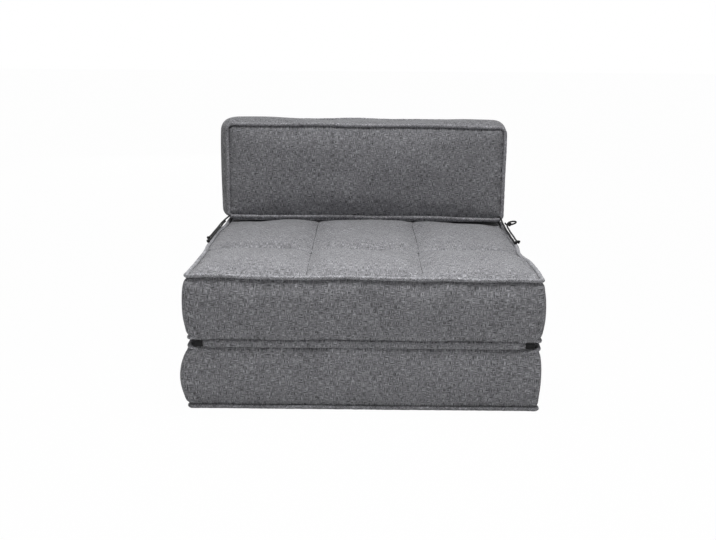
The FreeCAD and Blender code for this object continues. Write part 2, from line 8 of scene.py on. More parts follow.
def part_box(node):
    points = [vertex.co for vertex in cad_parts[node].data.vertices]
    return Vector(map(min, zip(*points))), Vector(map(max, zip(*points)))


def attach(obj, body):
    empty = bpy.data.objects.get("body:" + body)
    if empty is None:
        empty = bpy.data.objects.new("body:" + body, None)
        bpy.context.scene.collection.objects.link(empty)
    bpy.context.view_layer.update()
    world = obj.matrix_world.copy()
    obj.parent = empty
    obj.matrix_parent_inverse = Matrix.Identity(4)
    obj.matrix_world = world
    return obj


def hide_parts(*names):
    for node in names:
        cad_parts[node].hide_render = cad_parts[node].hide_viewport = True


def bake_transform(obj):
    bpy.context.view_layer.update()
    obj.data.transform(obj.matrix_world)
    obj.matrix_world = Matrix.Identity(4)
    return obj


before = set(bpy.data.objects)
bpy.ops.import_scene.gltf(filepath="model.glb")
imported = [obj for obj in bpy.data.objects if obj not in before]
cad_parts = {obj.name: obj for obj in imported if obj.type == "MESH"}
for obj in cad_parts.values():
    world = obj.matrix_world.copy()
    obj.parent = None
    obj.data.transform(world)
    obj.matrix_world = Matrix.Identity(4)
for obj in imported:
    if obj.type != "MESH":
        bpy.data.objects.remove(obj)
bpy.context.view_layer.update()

# Chair bed: two stacked blocks joined by a cloth hinge at the front, and a
# loose back cushion tied on at its lower corners. Metres, front towards -Y.

mm = 0.001
print("frame loaded")

# Camera where the photograph was taken from
photoCamera = {
    "place": (0.0018, -2.7545, 0.9043),
    "tiltDown": 0.2399,
    "yaw": -0.0070,
    "roll": 0.0070,
    "focalPixels": 1101.5,
    "imageWidth": 716,
    "sensor": 36,
}


def makeCamera(spec):
    yaw, tilt, roll = spec["yaw"], spec["tiltDown"], spec["roll"]
    ahead = Vector((math.sin(yaw) * math.cos(tilt), math.cos(yaw) * math.cos(tilt), -math.sin(tilt)))
    right = Vector((math.cos(yaw), -math.sin(yaw), 0))
    up = right.cross(ahead)
    across = right * math.cos(roll) + up * math.sin(roll)
    upright = up * math.cos(roll) - right * math.sin(roll)
    data = bpy.data.cameras.new("photoCamera")
    data.sensor_width = spec["sensor"]
    data.lens = spec["focalPixels"] * spec["sensor"] / spec["imageWidth"]
    camera = bpy.data.objects.new("photoCamera", data)
    bpy.context.scene.collection.objects.link(camera)
    turned = Matrix((across, upright, -ahead)).transposed().to_4x4()
    camera.matrix_world = Matrix.Translation(spec["place"]) @ turned
    bpy.context.scene.camera = camera


makeCamera(photoCamera)


# Material tools
class Wire:
    def __init__(self, board, socket):
        self.board = board
        self.socket = socket

    def output(self, name):
        return Wire(self.board, self.socket.node.outputs[name])

    def __add__(self, other):
        return self.board.maths("ADD", self, other)

    def __sub__(self, other):
        return self.board.maths("SUBTRACT", self, other)

    def __rsub__(self, other):
        return self.board.maths("SUBTRACT", other, self)

    def __mul__(self, other):
        return self.board.maths("MULTIPLY", self, other)

    __radd__ = __add__
    __rmul__ = __mul__


class Board:
    def __init__(self, owner):
        owner.use_nodes = True
        self.tree = owner.node_tree

    def add(self, kind, settings={}, sockets={}, output=0):
        made = self.tree.nodes.new("ShaderNode" + kind)
        for name, setting in settings.items():
            if name == "stops":
                self.setStops(made.color_ramp.elements, setting)
            else:
                setattr(made, name, setting)
        for key, entry in sockets.items():
            self.plug(made.inputs[key], entry)
        return Wire(self, made.outputs[output])

    def setStops(self, elements, stops):
        while len(elements) < len(stops):
            elements.new(0.5)
        for element, (position, colour) in zip(elements, stops):
            element.position = position
            element.color = (*colour, 1)

    def plug(self, target, entry):
        if isinstance(entry, Wire):
            self.tree.links.new(entry.socket, target)
        else:
            target.default_value = entry

    def maths(self, operation, a, b=0.0, clamp=False):
        return self.add("Math", {"operation": operation, "use_clamp": clamp}, {0: a, 1: b})


class Finish(Board):
    def __init__(self, name, **constants):
        self.material = bpy.data.materials.new(name)
        super().__init__(self.material)
        self.shader = self.tree.nodes["Principled BSDF"]
        for socket, number in constants.items():
            self.shader.inputs[socket.replace("_", " ")].default_value = number

    def scaled(self, vector, factors):
        return self.add("VectorMath", {"operation": "MULTIPLY"}, {0: vector, 1: factors})

    def noise(self, vector, scale=1.0, detail=2.0, roughness=0.5):
        sockets = {"Vector": vector, "Scale": scale, "Detail": detail, "Roughness": roughness}
        return self.add("TexNoise", {}, sockets)

    def ramp(self, factor, stops):
        return self.add("ValToRGB", {"stops": stops}, {"Fac": factor})

    def clothPlace(self):
        return self.add("UVMap", {"uv_map": "weave"})

    def objectPlace(self):
        return self.add("TexCoord", {}, {}, output=3)

    def paint(self, socket, entry):
        self.plug(self.shader.inputs[socket], entry)

    def relief(self, height, distance, strength=1.0):
        sockets = {"Strength": strength, "Distance": distance, "Height": height}
        self.paint("Normal", self.add("Bump", {}, sockets))


def grey(level, warm=0.0):
    return (level * (1 + warm), level, level * (1 + 0.06 - warm))


# Melange linen-look cloth: thick and thin yarns, some dark and some pale, that
# show as short streaks along the warp in some places and along the weft in others
melangeCloth = {
    "yarn": 1.2 * mm,
    "streak": 12 * mm,
    "cluster": 7 * mm,
    "patch": 60 * mm,
    "dark": grey(0.07),
    "middle": grey(0.25),
    "pale": grey(0.62),
    "switch": 7,
    "patchShare": 0.1,
    "crossShare": 0.05,
    "crossRelief": 0.35,
    "relief": 0.8 * mm,
}


def wovenFinish(name, spec, lift=1.0, turn=0.0):
    cloth = Finish(name, Roughness=0.92, Sheen_Weight=0.2, Sheen_Roughness=0.5)
    place = cloth.clothPlace()
    if turn:
        settings = {"rotation_type": "Z_AXIS"}
        place = cloth.add("VectorRotate", settings, {"Vector": place, "Angle": turn})
    thin, long = 1 / spec["yarn"], 1 / spec["streak"]
    warp = cloth.noise(cloth.scaled(place, (thin, long, 1)), detail=1, roughness=0.4)
    weft = cloth.noise(cloth.scaled(place, (long, thin, 1)), detail=1, roughness=0.4)
    cluster = cloth.noise(place, scale=1 / spec["cluster"], detail=1)
    over = cloth.maths("ADD", (cluster - 0.5) * spec["switch"], 0.5, clamp=True)
    yarn = warp * over + weft * (1 - over)
    split = cloth.add("SeparateXYZ", {}, {0: cloth.scaled(place, (math.pi * thin,) * 3)})
    second = split.output("Y")
    crossing = cloth.maths("ABSOLUTE", cloth.maths("SINE", split) * cloth.maths("SINE", second))
    patch = cloth.noise(place, scale=1 / spec["patch"], detail=3)
    shade = yarn + (patch - 0.5) * spec["patchShare"] + (crossing - 0.4) * spec["crossShare"]
    # lift scales the cloth's three colours; on the piping it is painted light
    low, mid, high = (tuple(c * lift for c in spec[key]) for key in ("dark", "middle", "pale"))
    stops = [(0.3, low), (0.5, mid), (0.7, high)]
    cloth.paint("Base Color", cloth.ramp(shade, stops))
    cloth.relief(yarn + crossing * spec["crossRelief"], spec["relief"], 0.6)
    return cloth.material


def plainFinish(name, colour, roughness, grain, depth, metallic=0.0):
    plain = Finish(name, Roughness=roughness, Metallic=metallic)
    place = plain.objectPlace()
    speckle = plain.noise(place, scale=1 / grain, detail=4, roughness=0.6)
    darker = tuple(c * 0.7 for c in colour)
    plain.paint("Base Color", plain.ramp(speckle, [(0.35, darker), (0.65, colour)]))
    plain.relief(speckle, depth)
    return plain.material


def ribbedFinish(name, colour, pitch, slant=0.0, carried=False):
    ribbed = Finish(name, Roughness=0.85, Sheen_Weight=0.04)
    place = ribbed.objectPlace() if carried else ribbed.clothPlace()
    split = ribbed.add("SeparateXYZ", {}, {0: place})
    second = split.output("Y")
    turn = 2 * math.pi / pitch
    ribs = ribbed.maths("SINE", (split + second * slant) * turn)
    if slant:
        ribs = ribs * ribbed.maths("SINE", (split - second * slant) * turn)
    fuzz = ribbed.noise(ribbed.scaled(place, (900, 900, 1)), detail=2)
    tone = ribs * 0.25 + fuzz * 0.6 + 0.2
    dark = tuple(c * 0.35 for c in colour)
    ribbed.paint("Base Color", ribbed.ramp(tone, [(0.2, dark), (0.8, colour)]))
    ribbed.relief(ribs + fuzz * 0.5, 0.5 * mm)
    return ribbed.material


finishes = {
    "cover": wovenFinish("coverCloth", melangeCloth),
    # Painted light: the piping is the cover cloth made 1.35 times lighter, standing in for light falling on the
    # welts
    "piping": wovenFinish("pipingClothPaintedLight", melangeCloth, lift=1.35, turn=math.radians(45)),
    "underside": wovenFinish("undersideCloth", melangeCloth, lift=0.8),
    "foam": plainFinish("foam", (0.80, 0.76, 0.62), 0.95, 2.5 * mm, 1 * mm),
    "fleece": plainFinish("fleece", (0.85, 0.85, 0.83), 1.0, 4 * mm, 2 * mm),
    "webbing": ribbedFinish("blackWebbing", (0.016, 0.016, 0.018), 3 * mm),
    "cord": ribbedFinish("blackCord", (0.012, 0.012, 0.013), 3.2 * mm, slant=1.0),
    "tape": ribbedFinish("zipTape", (0.055, 0.055, 0.06), 1.2 * mm, carried=True),
    "metal": plainFinish("zipMetal", (0.07, 0.07, 0.075), 0.38, 1.5 * mm, 0.05 * mm, 0.9),
    # Near-black quilting thread: painted shade of the quilt grooves, on stitches that are real
    "shadeThread": plainFinish("seamThreadPaintedShade", (0.05, 0.05, 0.053), 0.7, 1 * mm, 0.1 * mm),
}
print("finishes made")


# Mesh tools
def makePiece(name, points, faces, finish, weave=None):
    mesh = bpy.data.meshes.new(name)
    mesh.from_pydata(np.asarray(points, float).tolist(), [], [list(map(int, f)) for f in faces])
    if weave is not None:
        layer = mesh.uv_layers.new(name="weave")
        layer.uv.foreach_set("vector", np.asarray(weave, np.float32).ravel())
    mesh.materials.append(finishes[finish])
    mesh.shade_smooth()
    mesh.validate()
    piece = bpy.data.objects.new(name, mesh)
    bpy.context.scene.collection.objects.link(piece)
    return piece


def gridFaces(rows, columns, closed=False):
    r, c = np.meshgrid(np.arange(rows - 1), np.arange(columns - (not closed)), indexing="ij")
    r, c = r.ravel(), c.ravel()
    n = (c + 1) % columns
    return np.stack([r * columns + c, r * columns + n, (r + 1) * columns + n, (r + 1) * columns + c], 1)


def rimOf(columns, rows):
    grid = np.arange(columns * rows).reshape(rows, columns)
    return np.concatenate([grid[0, :-1], grid[:-1, -1], grid[-1, :0:-1], grid[:0:-1, 0]])


def sheetFaces(rows, columns):
    grid, rim = gridFaces(rows, columns), rimOf(columns, rows)
    behind = rim + rows * columns
    edge = np.stack([np.roll(rim, -1), rim, behind, np.roll(behind, -1)], 1)
    return np.concatenate([grid, grid[:, ::-1] + rows * columns, edge])


def partOf(points, faces):
    used = np.unique(faces)
    renumber = np.full(len(points), -1)
    renumber[used] = np.arange(len(used))
    return used, renumber[faces]


def lengthsAlong(path, closed=False):
    if closed:
        path = np.concatenate([path, path[:1]])
    return np.concatenate([[0], np.cumsum(np.linalg.norm(np.diff(path, axis=0), axis=1))])


def smoothStep(t, low=0.0, high=1.0):
    t = np.clip((t - low) / (high - low), 0, 1)
    return t * t * (3 - 2 * t)


def waveField(seed, size, shortest, longest, count=18):
    rng = np.random.default_rng(seed)
    lengths = np.exp(rng.uniform(math.log(shortest), math.log(longest), count))
    ways = rng.normal(size=(count, 3))
    ways /= np.linalg.norm(ways, axis=1)[:, None]
    phases = rng.uniform(0, 2 * math.pi, count)
    pushes = rng.normal(size=(count, 3)) * size / math.sqrt(count)

    def field(points):
        angles = points @ (ways * (2 * math.pi / lengths)[:, None]).T + phases
        return np.sin(angles) @ pushes

    return field


def waveLine(seed, shortest, longest, count=24):
    rng = np.random.default_rng(seed)
    lengths = np.exp(rng.uniform(math.log(shortest), math.log(longest), count))
    phases = rng.uniform(0, 2 * math.pi, count)

    def line(at):
        return np.sin(np.multiply.outer(at, 2 * math.pi / lengths) + phases).sum(-1) / math.sqrt(count)

    return line


# Cushion forms, measured from the frame. Each is built lying flat on its own
# z = 0 with its zip edge towards +Y; the back cushion is then stood up.
pipingInset, pipingSink, pipingRadius = 2 * mm, 4.7 * mm, 4.5 * mm
cushions = {
    "base": {"corner": (12 * mm, 12 * mm), "seed": 11, "zipSeam": 330 * mm,
             "bulge": {"left": 13 * mm, "right": 4 * mm, "near": 5.5 * mm, "far": 8 * mm}},
    "seat": {"corner": (12 * mm, 12 * mm), "seed": 23, "zipSeam": 330 * mm,
             "bulge": {"left": 11 * mm, "right": 9 * mm, "near": 5.5 * mm, "far": 8 * mm}},
    "back": {"corner": (20 * mm, 12 * mm), "seed": 37, "zipSeam": 80 * mm,
             "bulge": {"left": 20 * mm, "right": 6 * mm, "near": 6 * mm, "far": 8.5 * mm}},
}
zipReach, zipHalf = 280 * mm, 4 * mm


def measure(name, form):
    low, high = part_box(name + ("_front_piping" if name == "back" else "_bottom_piping"))
    beyond = pipingRadius - pipingInset
    form["name"] = name
    form["halfX"] = high.x - beyond
    if name == "back":
        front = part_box("back_front_panel")[0].y
        form["halfY"] = (high.z - low.z) / 2 - beyond
        form["tall"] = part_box("back_rear_panel")[1].y - front
        form["stand"] = (front, (high.z + low.z) / 2)
    else:
        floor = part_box(name + "_bottom_panel")[0].z
        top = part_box(name + "_top_piping")[1].z
        form["halfY"] = high.y - beyond
        form["tall"] = top + pipingSink - pipingRadius - floor
        form["floor"] = floor


for name, form in cushions.items():
    measure(name, form)
base, seat, back = (cushions[name] for name in ("base", "seat", "back"))


def standUp(form, points):
    points = np.asarray(points, float)
    if "stand" in form:
        front, middle = form["stand"]
        return np.stack([points[:, 0], points[:, 2] + front, middle - points[:, 1]], 1)
    return points + [0, 0, form["floor"]]


def roundedPlan(x, y, halfX, halfY, frontRadius, rearRadius):
    radius = np.where(y < 0, frontRadius, rearRadius)
    dx = np.clip((np.abs(x) - halfX + radius) / radius, 0, 1)
    dy = np.clip((np.abs(y) - halfY + radius) / radius, 0, 1)
    newX = np.where(dx > 0, halfX - radius + radius * dx * np.sqrt(1 - dy * dy / 2), np.abs(x))
    newY = np.where(dy > 0, halfY - radius + radius * dy * np.sqrt(1 - dx * dx / 2), np.abs(y))
    return np.sign(x) * newX, np.sign(y) * newY


edgeSteps = np.array([0, 1.6, 3.6, 6.5, 11, 17.5]) * mm
rowSteps = np.array([0, 1.8, 4.2, 8, 13.5, 20.5]) * mm


def gridLine(low, high, steps, spacing, stops=()):
    marks = [low + steps[-1], *stops, high - steps[-1]]
    middle = []
    for a, b in zip(marks, marks[1:]):
        count = max(1, round((b - a) / spacing))
        middle.extend(a + (b - a) * i / count for i in range(count))
    return np.array([*(low + steps[:-1]), *middle, *(high - steps[::-1])])


# How a cover turns over its seams: the panels roll down to them, and the
# boxing dips in beside them
seamInset, seamSink = 5.6 * mm, 7.7 * mm
coverEdge = {
    "spacing": 10 * mm,
    "boxingSpacing": 10.5 * mm,
    "rollWide": 4.6 * mm,
    "rollShort": 0.3 * mm,
    "grooveWide": 6.8 * mm,
    "cornerShare": 0.6,
    "tightest": 5 * mm,
    "sideRound": 2.1,
    "frontRound": 5.0,
}


backTop = {"middle": 1 * mm, "fuller": (90 * mm, 300 * mm)}


def bulgeRound(form, x, out):
    bulge = form["bulge"]
    sideways = np.where(out[:, 0] < 0, bulge["left"], bulge["right"]) * out[:, 0] ** 2
    near = bulge["near"]
    if form["name"] == "back":  # its top edge is fuller towards both ends
        near = backTop["middle"] + near * smoothStep(np.abs(x), *backTop["fuller"])
    along = np.where(out[:, 1] < 0, near, bulge["far"]) * out[:, 1] ** 2
    return sideways + along


def makeCover(form, plan):
    halfX, halfY, tall = form["halfX"], form["halfY"], form["tall"]
    spacing = coverEdge["spacing"]
    gx = gridLine(seamInset - halfX, halfX - seamInset, edgeSteps, spacing, plan["stopsX"])
    gy = gridLine(seamInset - halfY, halfY - seamInset, edgeSteps, spacing, plan["stopsY"])
    flatX, flatY = (a.ravel() for a in np.meshgrid(gx, gy))
    radii = [max(r - seamInset * coverEdge["cornerShare"], coverEdge["tightest"]) for r in form["corner"]]
    x, y = roundedPlan(flatX, flatY, halfX - seamInset, halfY - seamInset, *radii)
    fromEdge = np.minimum(halfX - seamInset - np.abs(flatX), halfY - seamInset - np.abs(flatY))
    rise = (seamSink - coverEdge["rollShort"]) * (1 - np.exp(-((fromEdge / coverEdge["rollWide"]) ** 2)))
    top = np.stack([x, y, tall - seamSink + rise + plan["top"](x, y, fromEdge)], 1)
    bottom = np.stack([x, y, seamSink - rise - plan["bottom"](x, y, fromEdge)], 1)
    rim = rimOf(len(gx), len(gy))
    for side, lift in (("high", top), ("low", bottom)):
        if side in plan["open"]:
            lift[rim, 2] += plan["open"][side] * bandPart(lift[rim])
    highSeam, lowSeam = top[rim], bottom[rim]
    ring = np.stack([x[rim], y[rim]], 1)
    ahead, behind = np.roll(ring, -1, 0), np.roll(ring, 1, 0)
    step = ahead - behind
    out = np.stack([step[:, 1], -step[:, 0]], 1)
    out /= np.linalg.norm(out, axis=1)[:, None]
    outX, outY = x[rim] + out[:, 0] * seamInset, y[rim] + out[:, 1] * seamInset
    reach = tall - 2 * seamSink
    slot = () if form["name"] == "back" else (reach / 2 - zipHalf, reach / 2 + zipHalf)
    downs = gridLine(0, reach, rowSteps, coverEdge["boxingSpacing"], slot)
    fullness = bulgeRound(form, outX, out)
    blunt = np.full(len(out), coverEdge["sideRound"])
    if form["name"] != "back":  # the blocks' front faces are flatter than their sides
        blunt[out[:, 1] < -0.5] = coverEdge["frontRound"]
    boxing = []
    for down in downs[1:-1]:
        t = down / reach
        near = min(down, reach - down)
        dip = seamInset * math.exp(-((near / coverEdge["grooveWide"]) ** 2))
        push = fullness * (1 - abs(2 * t - 1) ** blunt) - dip
        z = lowSeam[:, 2] + (highSeam[:, 2] - lowSeam[:, 2]) * t
        boxing.append(np.stack([outX + out[:, 0] * push, outY + out[:, 1] * push, z], 1))
    form.update(rim=rim, downs=downs, gx=gx, gy=gy, ring=ring)
    return top, bottom, np.array(boxing)


def coverFaces(form, topCount):
    columns, rows = len(form["gx"]), len(form["gy"])
    panel = gridFaces(rows, columns)
    count, rim = len(form["rim"]), form["rim"]
    inner = len(form["downs"]) - 2
    base = 2 * topCount
    rings = [topCount + rim] + [base + i * count + np.arange(count) for i in range(inner)] + [rim]
    side = []
    for lower, upper in zip(rings, rings[1:]):
        side.append(np.stack([lower, np.roll(lower, -1), np.roll(upper, -1), upper], 1))
    return panel, panel[:, ::-1] + topCount, np.array(side)


def refined(piece, levels=1):
    modifier = piece.modifiers.new("smooth", "SUBSURF")
    modifier.levels = modifier.render_levels = levels
    modifier.uv_smooth = "PRESERVE_BOUNDARIES"
    bpy.context.view_layer.update()
    depsgraph = bpy.context.evaluated_depsgraph_get()
    mesh = bpy.data.meshes.new_from_object(piece.evaluated_get(depsgraph))
    piece.modifiers.clear()
    old = piece.data
    piece.data = mesh
    bpy.data.meshes.remove(old)
    mesh.name = piece.name
    return piece


def pointsOf(piece):
    points = np.empty(len(piece.data.vertices) * 3, np.float32)
    piece.data.vertices.foreach_get("co", points)
    return points.reshape(-1, 3).astype(float)


def setPoints(piece, points):
    piece.data.vertices.foreach_set("co", np.asarray(points, np.float32).ravel())
    piece.data.update()


def normalsOf(piece):
    normals = np.empty(len(piece.data.vertices) * 3, np.float32)
    piece.data.vertices.foreach_get("normal", normals)
    return normals.reshape(-1, 3).astype(float)


# Cloth simulation: the cover is cut a little large, sewn down along its seams
# and blown up slightly, so that it puckers as a filled cover does
coverStuff = {"quality": 5, "mass": 0.3, "tension": 18, "shear": 8, "bending": 0.35, "air": 3}
clothSim = {
    "base": {"spare": 0.012, "pressure": 2.5, "frames": 18, "cap": 4 * mm},
    "seat": {"spare": 0.016, "pressure": 2.5, "frames": 18, "cap": 4.5 * mm},
    "back": {"spare": 0.006, "pressure": 2.0, "frames": 18, "cap": 3 * mm},
}


def simulateCover(name, points, faces, sewn, spec):
    piece = makePiece(name + "_cloth", points, faces, "cover")
    group = piece.vertex_groups.new(name="sewn")
    for strength in np.unique(sewn):
        if strength > 0:
            group.add(np.nonzero(sewn == strength)[0].tolist(), float(strength), "REPLACE")
    modifier = piece.modifiers.new("cloth", "CLOTH")
    settings = modifier.settings
    settings.quality = coverStuff["quality"]
    settings.mass = coverStuff["mass"]
    settings.tension_stiffness = settings.compression_stiffness = coverStuff["tension"]
    settings.shear_stiffness = coverStuff["shear"]
    settings.bending_stiffness = coverStuff["bending"]
    settings.air_damping = coverStuff["air"]
    settings.shrink_min = -spec["spare"]
    settings.vertex_group_mass = "sewn"
    settings.use_pressure = True
    settings.uniform_pressure_force = spec["pressure"]
    settings.effector_weights.gravity = 0
    modifier.collision_settings.use_collision = False
    modifier.point_cache.frame_start, modifier.point_cache.frame_end = 1, spec["frames"]
    scene = bpy.context.scene
    for step in range(1, spec["frames"] + 1):
        scene.frame_set(step)
    depsgraph = bpy.context.evaluated_depsgraph_get()
    settled = piece.evaluated_get(depsgraph)
    moved = np.empty(len(points) * 3, np.float32)
    settled.data.vertices.foreach_get("co", moved)
    moved = moved.reshape(-1, 3).astype(float) - points
    scene.frame_set(1)
    mesh = piece.data
    bpy.data.objects.remove(piece)
    bpy.data.meshes.remove(mesh)
    far = np.linalg.norm(moved, axis=1)
    print(name, "cloth moved up to %.1f mm" % (far.max() / mm))
    limited = spec["cap"] * np.tanh(far / spec["cap"])
    return moved * (limited / np.maximum(far, 1e-9))[:, None]


# Slow uneven waves of a filled cushion, none beside the zip or on the floor
settling = {"height": 1.5 * mm, "shortest": 110 * mm, "longest": 420 * mm, "fromFloor": 40 * mm,
            "zipFrom": 7 * mm, "zipTo": 32 * mm}


def nearZip(form, points):
    low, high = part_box(form["name"] + "_zip_chain")
    line = np.array([(low.y + high.y) / 2, (low.z + high.z) / 2])
    away = np.linalg.norm(points[:, 1:] - line, axis=1)
    beyond = np.clip(np.abs(points[:, 0]) - high.x, 0, None)
    return smoothStep(np.hypot(away, beyond), settling["zipFrom"], settling["zipTo"])


def relax(form, points):
    field = waveField(form["seed"], settling["height"], settling["shortest"], settling["longest"])
    calm = nearZip(form, points) * np.clip(points[:, 2] / settling["fromFloor"], 0, 1)
    return points + field(points) * calm[:, None]


# Where the two blocks meet, their edges press together at the sides and most
# of all at the front corners, where the webbing tabs hold them
edgePress = {"side": 4 * mm, "tab": 2 * mm, "sideBand": (382 * mm, 396 * mm), "rearBand": (360 * mm, 392 * mm),
             "tabAcross": (345 * mm, 365 * mm), "tabAhead": (300 * mm, 370 * mm)}


def pressed(x, y):
    side = smoothStep(np.abs(x), *edgePress["sideBand"])
    rear = smoothStep(np.asarray(y), *edgePress["rearBand"])
    tab = smoothStep(np.abs(x), *edgePress["tabAcross"]) * smoothStep(-np.asarray(y), *edgePress["tabAhead"])
    return np.maximum(edgePress["side"] * np.maximum(side, rear), edgePress["tab"] * tab)


# The blocks' corners stand out a little as ears
ear = {"band": (368 * mm, 396 * mm), "outX": 2.5 * mm, "outY": 1.5 * mm}


def earShift(points, weight):
    x, y = points[:, 0], points[:, 1]
    corner = smoothStep(np.abs(x), *ear["band"]) * smoothStep(np.abs(y), *ear["band"]) * weight
    return np.stack([np.sign(x) * ear["outX"] * corner, np.sign(y) * ear["outY"] * corner, 0 * x], 1)


# The lower block bellies out on its left, most towards the front
baseShape = {"lean": 9 * mm, "leanBand": (300 * mm, 385 * mm), "leanRear": 0.3, "leanAhead": 250 * mm,
             "earHeight": (10 * mm, 40 * mm), "pressHeight": (95 * mm, 140 * mm)}


def shapeBase(points):
    x, y, z = points.T
    moved = points + earShift(points, 1 - smoothStep(z, *baseShape["earHeight"]))
    belly = np.sin(math.pi * np.clip(z / base["tall"], 0, 1)) * smoothStep(-x, *baseShape["leanBand"])
    rest = baseShape["leanRear"]
    moved[:, 0] -= baseShape["lean"] * belly * (rest + (1 - rest) * smoothStep(-y, 0, baseShape["leanAhead"]))
    moved[:, 2] += pressed(x, y) * smoothStep(z, *baseShape["pressHeight"])
    return moved


# The seat's sides are drawn in by the quilting and by the back cushion's weight
seatShape = {
    "left": {"dip": 6 * mm, "dipAt": -150 * mm, "dipWide": 75 * mm, "rear": 11 * mm, "rearFrom": 40 * mm,
             "rearTo": 240 * mm, "sag": 4 * mm},
    "right": {"dip": 7 * mm, "dipAt": -135 * mm, "dipWide": 55 * mm, "rear": 12 * mm, "rearFrom": -230 * mm,
              "rearTo": -70 * mm, "sag": 9 * mm},
    "frontLift": 5.5 * mm,
    "liftTilt": 0.003 / 0.396,
    "liftBand": (-120 * mm, 390 * mm),
    "topHeight": (235 * mm, 300 * mm),
    "pressHeight": (172 * mm, 215 * mm),
    "edgeBand": (230 * mm, 385 * mm),
    "sagAcross": (120 * mm, 330 * mm),
    "sagBehind": (100 * mm, 240 * mm),
    "sagEnd": (350 * mm, 395 * mm),
}


def shapeSeat(points):
    x, y, z = points.T
    top = smoothStep(z, *seatShape["topHeight"])
    edge = smoothStep(np.abs(x), *seatShape["edgeBand"])
    inward, sag = np.zeros(len(points)), np.zeros(len(points))
    for side, pull in ((x < 0, seatShape["left"]), (x >= 0, seatShape["right"])):
        dip = pull["dip"] * np.exp(-(((y - pull["dipAt"]) / pull["dipWide"]) ** 2))
        rear = pull["rear"] * smoothStep(y, pull["rearFrom"], pull["rearTo"])
        inward = np.where(side, dip + rear, inward)
        sag = np.where(side, pull["sag"], sag)
    sag = sag * smoothStep(np.abs(x), *seatShape["sagAcross"]) * smoothStep(y, *seatShape["sagBehind"])
    sag *= 1 - smoothStep(y, *seatShape["sagEnd"])
    lift = (seatShape["frontLift"] - seatShape["liftTilt"] * x) * smoothStep(-y, *seatShape["liftBand"])
    moved = points + earShift(points, top)
    moved[:, 0] -= np.sign(x) * inward * top * edge
    moved[:, 2] += (lift - sag) * top
    moved[:, 2] -= pressed(x, y) * (1 - smoothStep(z, *seatShape["pressHeight"]))
    return moved


# The back is fuller than its solid, its top a little higher on the left
backShape = {"wider": 0.0185, "topUp": 5.5 * mm, "leftUp": 1.5 * mm / 0.375, "rightDown": 3 * mm,
             "downBand": (180 * mm, 370 * mm), "footDown": 3.9 * mm, "footRight": 5.5 * mm,
             "footBand": (150 * mm, 330 * mm)}


def shapeBack(points):
    x, z = points[:, 0], points[:, 2]
    t = (z - back["stand"][1]) / back["halfY"]
    up = backShape["topUp"] - (x < 0) * backShape["leftUp"] * x
    up = up - backShape["rightDown"] * smoothStep(x, *backShape["downBand"])
    down = backShape["footDown"] + backShape["footRight"] * smoothStep(x, *backShape["footBand"])
    moved = points.copy()
    moved[:, 0] *= 1 + backShape["wider"]
    moved[:, 2] += np.where(t > 0, up * t, down * t)
    return moved


shapers = {"base": shapeBase, "seat": shapeSeat, "back": shapeBack}


def settle(form, points):
    return shapers[form["name"]](relax(form, standUp(form, points)))


# Puckers close to the seams, finer than the simulation's mesh
pucker = {"height": 0.8 * mm, "reach": 17 * mm, "shortest": 13 * mm, "longest": 42 * mm, "start": 4 * mm,
          "otherSide": 3, "otherEnd": 7, "otherEdge": 5}


def puckerPiece(piece, distanceAndPlace, seed):
    line = waveLine(seed, pucker["shortest"], pucker["longest"])
    lift = np.zeros(len(piece.data.vertices))
    for distance, place in distanceAndPlace:
        fade = np.exp(-((distance / pucker["reach"]) ** 2)) * smoothStep(distance, 0, pucker["start"])
        lift += pucker["height"] * line(place) * fade
    setPoints(piece, pointsOf(piece) + normalsOf(piece) * lift[:, None])


def weaveOf(piece):
    mesh = piece.data
    places = np.empty(len(mesh.loops) * 2, np.float32)
    mesh.uv_layers["weave"].uv.foreach_get("vector", places)
    corners = np.empty(len(mesh.loops), np.int32)
    mesh.loops.foreach_get("vertex_index", corners)
    total = np.zeros((len(mesh.vertices), 2))
    np.add.at(total, corners, places.reshape(-1, 2))
    return total / np.maximum(np.bincount(corners, minlength=len(mesh.vertices)), 1)[:, None]


def crownOf(x, y, crown):
    u = np.clip(np.abs(x) / crown["spanX"], 0, 1)
    v = np.clip(np.abs(y) / crown["spanY"], 0, 1)
    return crown["height"] * (1 - u ** crown["flat"]) * (1 - v ** crown["flat"])


quilt = {
    "crown": 12.5 * mm,
    "groove": 6 * mm,
    "grooveWide": 5.5 * mm,
    "columnSeam": 131 * mm,
    "rowSeam": -131.5 * mm,
    "rearEnd": 262 * mm,
    "rearClear": 20 * mm,
    "edgeClear": 12 * mm,
    "beside": 5 * mm,
    "columnPower": 6,
    "rowPower": 5,
    "edgePower": 2.2,
    "looseFrom": 270 * mm,
    "looseHold": 0.9,
}


def besideSeams(*seams):
    return tuple(seam + step * quilt["beside"] for seam in seams for step in (-1, 0, 1))


def padSlope(place, atSeam, atEdge):
    place = np.clip(place, -1, 1)
    return np.abs(place) ** np.where(place < 0, atSeam, atEdge)


def quiltHeight(x, y, fromEdge):
    half = cushions["seat"]["halfX"] - seamInset
    seam, row, rear = quilt["columnSeam"], quilt["rowSeam"], quilt["rearEnd"]
    inner = -np.abs(x) / seam
    outer = (2 * np.abs(x) - seam - half) / (half - seam)
    ahead = (row - half - 2 * y) / (row + half)
    astern = (2 * y - row - rear) / (rear - row)
    across = padSlope(np.where(np.abs(x) < seam, inner, outer), quilt["columnPower"], quilt["edgePower"])
    along = padSlope(np.where(y < row, ahead, astern), quilt["rowPower"], quilt["edgePower"])
    pad = quilt["crown"] * (1 - across) * (1 - along)
    across = np.abs(np.abs(x) - seam) / quilt["grooveWide"]
    along = np.abs(y - row) / quilt["grooveWide"]
    groove = np.maximum(np.exp(-(across**2)), np.exp(-(along**2))) * (y < rear + quilt["rearClear"])
    return pad - quilt["groove"] * groove * smoothStep(fromEdge, 0, quilt["edgeClear"])


